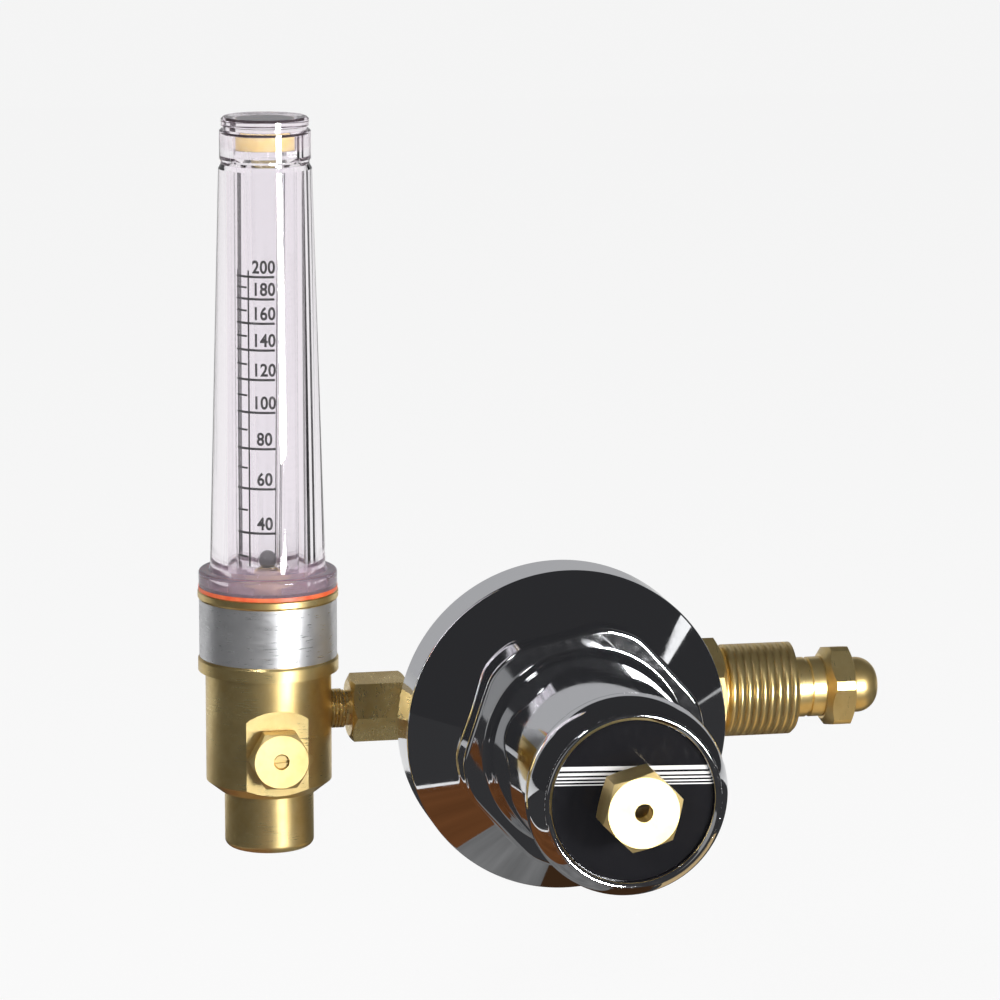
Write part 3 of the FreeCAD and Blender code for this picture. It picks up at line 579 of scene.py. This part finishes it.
def ridge_tree():
    tree, given = started("thread_ridge", {
        "Foot radius": "Float", "Depth": "Float", "Pitch": "Float", "Length": "Float",
        "Start": "Vector", "Turn": "Rotation", "Finish": "Material"})
    turns = given["Length"] / given["Pitch"]
    spiral = tree.made("GeometryNodeCurveSpiral", {}, {
        "Resolution": STEPS_A_TURN, "Rotations": turns, "Start Radius": given["Foot radius"],
        "End Radius": given["Foot radius"], "Height": given["Length"]})
    upright = tree.made("GeometryNodeSetCurveNormal", {"mode": "Z_UP"}, {"Curve": spiral})
    along = tree.made("GeometryNodeSplineParameter")
    taper = (along.at_most(1 - along) * (turns * FADES_A_TURN)).at_most(1.0).at_least(THINNEST)
    tapered = tree.made("GeometryNodeSetCurveRadius", {}, {"Curve": upright, "Radius": taper})
    profile = tree.made("GeometryNodeCurvePrimitiveQuadrilateral", {"mode": "TRAPEZOID"}, {
        "Height": given["Depth"], "Bottom Width": given["Pitch"] * RIDGE_FOOT,
        "Top Width": given["Pitch"] * RIDGE_CREST, "Offset": 0.0})
    lifted = tree.made("GeometryNodeTransform", {}, {"Geometry": profile, "Rotation": (0, 0, -math.pi / 2)})
    swept = tree.made("GeometryNodeCurveToMesh", {}, {
        "Curve": tapered, "Profile Curve": lifted, "Fill Caps": True})
    placed = tree.made("GeometryNodeTransform", {}, {
        "Geometry": swept, "Translation": given["Start"], "Rotation": given["Turn"]})
    return ended(tree, placed, given["Finish"])


ridge = ridge_tree()


# %% [markdown]
# ## From a tree to a plain mesh
# A modifier's inputs are set by each socket's identifier before anything is evaluated.
# The result is then copied out as a plain mesh and the modifier goes away, because a plain mesh can be
# measured here and exported as it is.

# %% Grow a mesh from a tree
def evaluated_mesh(thing):
    looked_at = thing.evaluated_get(bpy.context.evaluated_depsgraph_get())
    return bpy.data.meshes.new_from_object(looked_at)


def grown(name, tree, **values):
    seed = linked(name + "_seed", bpy.data.meshes.new(name + "_seed"))
    modifier = seed.modifiers.new("grow", "NODES")
    modifier.node_group = tree.group
    for item in tree.group.interface.items_tree:
        if item.in_out == "INPUT":
            modifier[item.identifier] = values[item.name.replace(" ", "_")]
    seed.update_tag()
    mesh = evaluated_mesh(seed)
    mesh.name = name
    seed.modifiers.remove(modifier)
    bpy.data.objects.remove(seed)
    outward(mesh)
    print(name, "faces", len(mesh.polygons))
    return mesh


# %% [markdown]
# ## Taking a copy in to the foot of its thread
# The copy's doubled corners are merged first. Then only the corners that lie on the thread's outside are
# moved in, so the rest of the piece keeps the shape of its solid.

# %% Copies with a slimmer thread
MERGED = 1e-6
ON_THREAD = 0.03
THREAD_MARGIN = 0.5


def slimmed(node, name, radius, foot, start, end):
    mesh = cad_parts[node].data.copy()
    mesh.name = name
    shell = bmesh.new()
    shell.from_mesh(mesh)
    bmesh.ops.remove_doubles(shell, verts=shell.verts, dist=MERGED)
    moved = 0
    for corner in shell.verts:
        off_axis = math.hypot(corner.co.y, corner.co.z)
        if abs(off_axis - radius * MM) < ON_THREAD * MM and start * MM < corner.co.x < end * MM:
            corner.co.y *= foot / radius
            corner.co.z *= foot / radius
            moved += 1
    shell.to_mesh(mesh)
    shell.free()
    print(name, "corners taken in:", moved)
    return mesh


def threaded(node, name, radius, depth, pitch, low, length, body, material):
    foot = radius - depth
    core_mesh = slimmed(node, name, radius, foot, low - THREAD_MARGIN, low + length + THREAD_MARGIN)
    turn = Matrix.Rotation(math.pi / 2, 4, "Y").to_euler()
    ridge_mesh = grown(
        name + "_ridge", ridge, Foot_radius=foot * MM, Depth=depth * 2 * MM, Pitch=pitch * MM,
        Length=length * MM, Start=(low * MM, 0.0, 0.0), Turn=tuple(turn), Finish=material)
    core = shown(name, core_mesh, material, body, smooth=False)
    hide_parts(node)
    shown(name + "_ridge", ridge_mesh, material, body)
    reach = max(math.hypot(c.co.y, c.co.z) for c in ridge_mesh.vertices) / MM
    print(name, "ridge reaches radius", round(reach, 3), "of", radius)


nut_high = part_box("inlet_nut")[1].x / MM
adaptor_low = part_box("outlet_adaptor")[0].x / MM
threaded("inlet_nut", "inlet_nut_cut", radius=12.2, depth=0.85, pitch=2.06,
         low=nut_high - 18.6, length=17.6, body="nut", material=along_x)
threaded("outlet_adaptor", "outlet_adaptor_cut", radius=5.1, depth=0.5, pitch=0.94,
         low=adaptor_low + 0.8, length=9.6, body="regulator", material=milled)
print("nut front at", round(nut_high, 2), "adaptor end at", round(adaptor_low, 2))


# %% [markdown]
# ## The printed scale
# The tube carries a scale of flow, with plain numbers from 40 to 200 that crowd towards the top.
# The heights follow one smooth law, because the bore widens evenly and the ball climbs faster at first.
# The print lies just outside the tube's wall and faces a little to one side, as the tube was put in.

# %% The law of the scale
LAW = (22.11, 0.73818, -1.76256e-3, 1.99037e-6)
PRINT_RADIUS = tube_radius + 0.04 * MM
FACING = math.radians(8.9)
FIRST_NUMBER, LAST_NUMBER, STEP = 40, 200, 20


def mark_height(flow):
    return sum(part * flow ** power for power, part in enumerate(LAW)) * MM


def on_tube(turn, z, radius=PRINT_RADIUS):
    side = FACING + turn
    return Vector((meter_x - radius * math.sin(side), -radius * math.cos(side), z))


for flow in (FIRST_NUMBER, LAST_NUMBER):
    print(flow, "stands at", round(mark_height(flow) / MM, 1), "mm")


# %% [markdown]
# ## The scale marks
# Marks that repeat are grown by a tree: points along the law, and a thin curved strip on each.
# A printed texture could show them too, but ink that is a real strip stays sharp however near one looks.

# %% The tree of scale marks
ARC_POINTS, NIB_POINTS = 14, 6


def marks_tree():
    tree, given = started("scale_marks", {
        "Count": "Int", "First": "Float", "Step": "Float", "Radius": "Float", "Thickness": "Float",
        "From angle": "Float", "Sweep": "Float", "Axis": "Vector", "Finish": "Material"})
    row = tree.made("GeometryNodeMeshLine", {}, {"Count": given["Count"]})
    flow = given["First"] + tree.made("GeometryNodeInputIndex") * given["Step"]
    height = LAW[-1] * MM
    for part in reversed(LAW[:-1]):
        height = height * flow + part * MM
    place = tree.made("ShaderNodeCombineXYZ", {}, {"Z": height})
    points = tree.made("GeometryNodeSetPosition", {}, {"Geometry": row, "Position": place})
    arc = tree.made("GeometryNodeCurveArc", {}, {
        "Resolution": ARC_POINTS, "Radius": given["Radius"], "Start Angle": given["From angle"],
        "Sweep Angle": given["Sweep"]})
    nib = tree.made("GeometryNodeCurvePrimitiveCircle", {}, {
        "Resolution": NIB_POINTS, "Radius": given["Thickness"]})
    strip = tree.made("GeometryNodeCurveToMesh", {}, {"Curve": arc, "Profile Curve": nib, "Fill Caps": True})
    many = tree.made("GeometryNodeInstanceOnPoints", {}, {"Points": points, "Instance": strip})
    placed = tree.made("GeometryNodeTransform", {}, {"Geometry": many, "Translation": given["Axis"]})
    return ended(tree, placed, given["Finish"])


scale_marks = marks_tree()


# %% [markdown]
# ## Two rows of marks
# Long marks stand at the numbers and short ones between them. All start from the outer upright line.

# %% The rows
LINE_TURN = math.radians(57)
STRAIGHT_AHEAD = -math.pi / 2 - FACING


def scale_row(name, count, first, sweep, thickness):
    mesh = grown(
        name, scale_marks, Count=count, First=float(first), Step=float(STEP), Radius=PRINT_RADIUS,
        Thickness=thickness * MM, From_angle=STRAIGHT_AHEAD - LINE_TURN, Sweep=math.radians(sweep),
        Axis=(meter_x, 0.0, 0.0), Finish=ink)
    shown(name, mesh, ink, "regulator")


MARKS = (LAST_NUMBER - FIRST_NUMBER) // STEP + 1
scale_row("scale_main_marks", MARKS, FIRST_NUMBER, 71, 0.32)
scale_row("scale_short_marks", MARKS, FIRST_NUMBER - STEP / 2, 22, 0.27)
print("marks in a row:", MARKS)


# %% [markdown]
# ## The numbers
# Each number is a flat text made into a mesh, then wrapped around the tube: how far along the line
# becomes an angle. The strokes are thickened a little, because print on a real tube is bold, and no more
# than a little, because the small openings in a 6 and an 8 would close.

# %% Numbers around the tube
DIGIT_HEIGHT, FONT_PER_DIGIT = 3.3, 1.38
STROKE_GROWTH, LETTER_SPACE, NARROWED = 0.12, 1.05, 0.80
NUMBER_LIFT = 1.0
NUMBER_TURN = math.radians(4)


def wrapped_number(value):
    curve = bpy.data.curves.new("number", "FONT")
    curve.body = str(value)
    curve.align_x = "CENTER"
    curve.size = DIGIT_HEIGHT * FONT_PER_DIGIT * MM
    curve.space_character = LETTER_SPACE
    curve.offset = STROKE_GROWTH * MM
    flat = linked("number", curve)
    mesh = evaluated_mesh(flat)
    bpy.data.objects.remove(flat)
    foot = mark_height(value) + NUMBER_LIFT * MM
    shell = bmesh.new()
    shell.from_mesh(mesh)
    bmesh.ops.triangulate(shell, faces=shell.faces)
    for corner in shell.verts:
        turn = NUMBER_TURN - corner.co.x * NARROWED / PRINT_RADIUS
        corner.co = on_tube(turn, foot + corner.co.y)
    bmesh.ops.recalc_face_normals(shell, faces=shell.faces)
    for face in shell.faces:
        centre = face.calc_center_median()
        if face.normal.dot(centre - Vector((meter_x, 0, centre.z))) < 0:
            face.normal_flip()
    shell.to_mesh(mesh)
    shell.free()
    return mesh


def joined_meshes(name, meshes):
    whole = bmesh.new()
    for mesh in meshes:
        whole.from_mesh(mesh)
    mesh = bpy.data.meshes.new(name)
    whole.to_mesh(mesh)
    whole.free()
    return mesh


values = range(FIRST_NUMBER, LAST_NUMBER + 1, STEP)
numbers = joined_meshes("scale_numbers", [wrapped_number(value) for value in values])
shown("scale_numbers", numbers, ink, "regulator")
print("numbers have", len(numbers.polygons), "faces")


# %% [markdown]
# ## The upright lines
# Two lines run up the scale, one at the foot of the marks and a bolder one between marks and numbers.
# Each is a slim bar bent to the tube only by its two edges, which at this width is all that shows.

# %% Outer and inner line
INNER_TURN = math.radians(31)
LINE_FROM, LINE_TO, LINE_THICK = 26, 206, 0.05


def upright_line(name, turn, width):
    half = width * MM / 2 / PRINT_RADIUS
    hull = bmesh.new()
    for z in (mark_height(LINE_FROM), mark_height(LINE_TO)):
        for side in (turn + half, turn - half):
            for out in (PRINT_RADIUS, PRINT_RADIUS + LINE_THICK * MM):
                hull.verts.new(on_tube(side, z, out))
    bmesh.ops.convex_hull(hull, input=hull.verts)
    mesh = bpy.data.meshes.new(name)
    hull.to_mesh(mesh)
    hull.free()
    outward(mesh)
    shown(name, mesh, ink, "regulator")
    print(name, "is", width, "mm wide")


upright_line("scale_outer_line", LINE_TURN, 0.24)
upright_line("scale_inner_line", INNER_TURN, 0.40)


# %% [markdown]
# ## The world
# The background is pale, but a world as bright as that would wash the metal out.
# So the world is pale for a look from the camera, through plastic or in a mirror, and dimmer as a lamp.

# %% A world of two strengths
PALE, WHITE = (0.930, 0.930, 0.930, 1), (1, 1, 1, 1)
WORLD_FILL = 0.45
world = bpy.data.worlds.new("studio")
bpy.context.scene.world = world
world.use_nodes = True
sky = Tree(world.node_tree)
rays = sky.add("ShaderNodeLightPath")
from_camera, from_clear, from_mirror = (
    Wire(sky, rays.outputs[label]) for label in ("Is Camera Ray", "Is Transmission Ray", "Is Glossy Ray"))
backdrop = sky.add("ShaderNodeBackground", {}, {"Color": PALE, "Strength": 1.0})
fill = sky.add("ShaderNodeBackground", {}, {"Color": WHITE, "Strength": WORLD_FILL})
either = sky.add("ShaderNodeMixShader", {}, {
    0: from_camera.at_least(from_clear).at_least(from_mirror), 1: fill.outputs[0], 2: backdrop.outputs[0]})
sky.add("ShaderNodeOutputWorld", {}, {"Surface": either.outputs[0]})
print("world nodes:", len(sky.group.nodes))


# %% [markdown]
# ## The floor
# The part hangs from its inlet nose, so the pale floor lies some way below it and nothing touches it.
# From the front it fills the whole view. It is mostly a glow for the camera, so that it stays pale and
# even, and a painted floor for the rest, so that it still takes light and shade from the part.

# %% Floor
FLOOR_HALF, FLOOR_DROP = 6.0, 75
FLOOR_GLOW, GLOW_SHARE = 0.97, 0.88


def sheet_object(name, corner_list, material):
    mesh = bpy.data.meshes.new(name)
    mesh.from_pydata([Vector(c) for c in corner_list], [], [tuple(range(len(corner_list)))])
    mesh.materials.append(material)
    piece = linked(name, mesh)
    return piece


floor_paint = Finish("floor_pale", Roughness=0.9, Base_Color=PALE)
floor_rays = floor_paint.add("ShaderNodeLightPath")
floor_seen = (Wire(floor_paint, floor_rays.outputs["Is Camera Ray"])
              + Wire(floor_paint, floor_rays.outputs["Is Transmission Ray"]))
floor_glow = floor_paint.add("ShaderNodeEmission", {}, {"Color": WHITE, "Strength": FLOOR_GLOW})
floor_paint.blend(floor_seen * GLOW_SHARE, floor_glow)
floor_z = solids_box[0].z - FLOOR_DROP * MM
sheet_object("floor", [
    (-FLOOR_HALF, -FLOOR_HALF, floor_z), (FLOOR_HALF, -FLOOR_HALF, floor_z),
    (FLOOR_HALF, FLOOR_HALF, floor_z), (-FLOOR_HALF, FLOOR_HALF, floor_z)], floor_paint.material)
print("floor at", round(floor_z / MM, 1), "mm")


# %% [markdown]
# ## Cards for the mirror
# A shiny thing shows its room: the camera sees a pale backdrop, but chrome needs dark cards to have any
# shape. Each card glows with its own colour and is seen only in reflections, so it lights nothing.
# A wooden board, a pale wall behind and one bright box stand for what a real bonnet would mirror.
# They are studio pieces, not part of the object.

# %% What a card is
GRAIN_DARK, GRAIN_LIGHT = 0.45, 1.55
RAYS = ("camera", "diffuse", "glossy", "transmission", "shadow", "volume_scatter")


def glowing(name, colour, strength, grain):
    made = Finish(name, "ShaderNodeEmission", Color=colour, Strength=strength)
    if grain:
        pattern = made.noise(1.0, stretch=grain, detail=6.0)
        made.drive(Color=made.mixed(pattern, shaded(colour, GRAIN_DARK), shaded(colour, GRAIN_LIGHT)))
    return made.material


def card(name, low, high, colour, strength=1.0, grain=None, seen_by="glossy"):
    if low[2] == high[2]:
        corner_list = [low, (high[0], low[1], low[2]), high, (low[0], high[1], low[2])]
    else:
        corner_list = [low, (high[0], high[1], low[2]), high, (low[0], low[1], high[2])]
    piece = sheet_object(name, corner_list, glowing(name, colour, strength, grain))
    for ray in RAYS:
        setattr(piece, "visible_" + ray, ray == seen_by)


print("kinds of ray:", RAYS)


# %% [markdown]
# ## The room in the chrome
# A card is given by two opposite corners, in metres. The walls come first, then what lies on the table,
# then what shines. Two last cards are seen only through the clear shield, and darken its right edge.

# %% Place the cards
LEFT, RIGHT, FRONT, BACK, TOP = -2.2, 2.2, -2.8, 2.5, 1.6
TABLE_BACK, BOARD_FRONT, BOARD_BACK = 0.3, -0.25, 0.12
THROUGH_TOP = 0.15
on_floor, near_floor = floor_z + 2 * MM, floor_z + 6 * MM
BLACK, DARK = (0.028, 0.028, 0.030, 1), (0.036, 0.036, 0.038, 1)
WALL_GREY, BOARD_GREY = (0.42, 0.42, 0.43, 1), (0.17, 0.17, 0.17, 1)
WOOD, BROWN, HONEY = (0.13, 0.050, 0.018, 1), (0.045, 0.022, 0.010, 1), (0.52, 0.38, 0.20, 1)

CARDS = {
    "card_ceiling": ((LEFT, FRONT, TOP), (RIGHT, BACK, TOP), BLACK),
    "card_front": ((LEFT, FRONT, floor_z), (RIGHT, FRONT, TOP), DARK),
    "card_left": ((LEFT, FRONT, floor_z), (LEFT, BACK, TOP), BLACK),
    "card_right": ((RIGHT, FRONT, floor_z), (RIGHT, BACK, TOP), BLACK),
    "card_back": ((LEFT, BACK, floor_z), (RIGHT, BACK, TOP), WALL_GREY),
    "table_dark": ((LEFT, FRONT, on_floor), (RIGHT, TABLE_BACK, on_floor), DARK),
    "table_edge": ((-0.263, BOARD_FRONT, near_floor), (-0.255, BOARD_BACK, near_floor), WHITE, 0.9),
    "table_wood": ((-0.255, BOARD_FRONT, near_floor), (-0.152, BOARD_BACK, near_floor), WOOD, 1.0,
                   (40, 8, 1)),
    "table_grey": ((-0.152, BOARD_FRONT, near_floor), (-0.085, BOARD_BACK, near_floor), BOARD_GREY, 1.0,
                   (90, 30, 1)),
    "table_brown": ((-0.085, BOARD_FRONT, near_floor), (-0.04, BOARD_BACK, near_floor), BROWN),
    "table_honey": ((-0.03, -0.09, near_floor), (0.09, 0.03, near_floor), HONEY),
    "strip_right": ((1.9, 0.02, 0.74), (1.9, 0.13, 0.98), WHITE, 1.1),
    "spark_left": ((-1.00, -1.45, 1.10), (-0.76, -1.45, 1.34), WHITE, 24.0),
    "softbox": ((0.14, -0.87, -0.05), (0.35, -0.79, 0.15), WHITE, 80.0),
    "table_glare": ((0.12, -1.00, near_floor), (0.36, -0.88, near_floor), WHITE, 30.0),
    "fill_left": ((-0.62, -0.74, floor_z), (-0.10, -0.90, 0.12), WHITE, 0.28),
}
for name, facts in CARDS.items():
    card(name, *facts)
# These two black cards paint a dark reflection on the shield's right edge: they stand in for a dark card
# mirrored in the plastic.
card("through_right", (0.220, 0.468, floor_z), (0.302, 0.387, THROUGH_TOP), BLACK, seen_by="transmission")
card("through_far_right", (0.373, 0.284, floor_z), (0.420, 0.167, THROUGH_TOP), BLACK, seen_by="transmission")
print("cards in the room:", len(CARDS) + 2)


# %% [markdown]
# ## Light
# Three broad lamps and the world's fill light the part evenly. A mirror would show each lamp as a hard
# rectangle, so reflections leave them out, and the bright cards give the chrome its white patches instead.

# %% Lamps
heart = Vector((meter_x / 2, 0, 0.04))


def lamp(name, place, size, power):
    data = bpy.data.lights.new(name, "AREA")
    data.shape = "RECTANGLE"
    data.size, data.size_y = size
    data.energy = power
    holder = linked(name, data)
    holder.location = place
    holder.rotation_euler = (heart - Vector(place)).to_track_quat("-Z", "Y").to_euler()
    holder.visible_glossy = False
    print(name, "of", power, "W")


lamp("lamp_key", (0.55, -0.95, 0.16), (0.30, 0.20), 9)
lamp("lamp_side", (-0.95, -1.05, 0.75), (0.35, 0.5), 7)
lamp("lamp_top", (0.1, -0.3, 1.35), (0.5, 0.35), 6)


# %% [markdown]
# ## Camera
# The camera stands where the picture was taken from. Its place, its turn and its lens were found by fitting
# the round edges of the part, because a round seen at a slant shows the direction it is seen from.

# %% Camera
EYE = Vector((-338.16, -1166.32, 286.66)) * MM
YAW, PITCH, ROLL = math.radians(11.7945), math.radians(-11.0642), math.radians(0.18)
FOCAL_PIXELS, IMAGE_PIXELS, SENSOR = 4660, 1000, 36
camera_data = bpy.data.cameras.new("camera")
camera_data.sensor_width = SENSOR
camera_data.lens = FOCAL_PIXELS / IMAGE_PIXELS * SENSOR
camera_data.clip_start, camera_data.clip_end = 0.05, 50
camera = linked("camera", camera_data)
camera.location = EYE
camera.rotation_euler = (Matrix.Rotation(-YAW, 3, "Z") @ Matrix.Rotation(math.pi / 2 + PITCH, 3, "X")
                         @ Matrix.Rotation(ROLL, 3, "Z")).to_euler()
bpy.context.scene.camera = camera
bpy.context.scene.view_settings.view_transform = "Standard"
print("camera lens", round(camera_data.lens, 1), "mm, at", tuple(camera.location))


# %% [markdown]
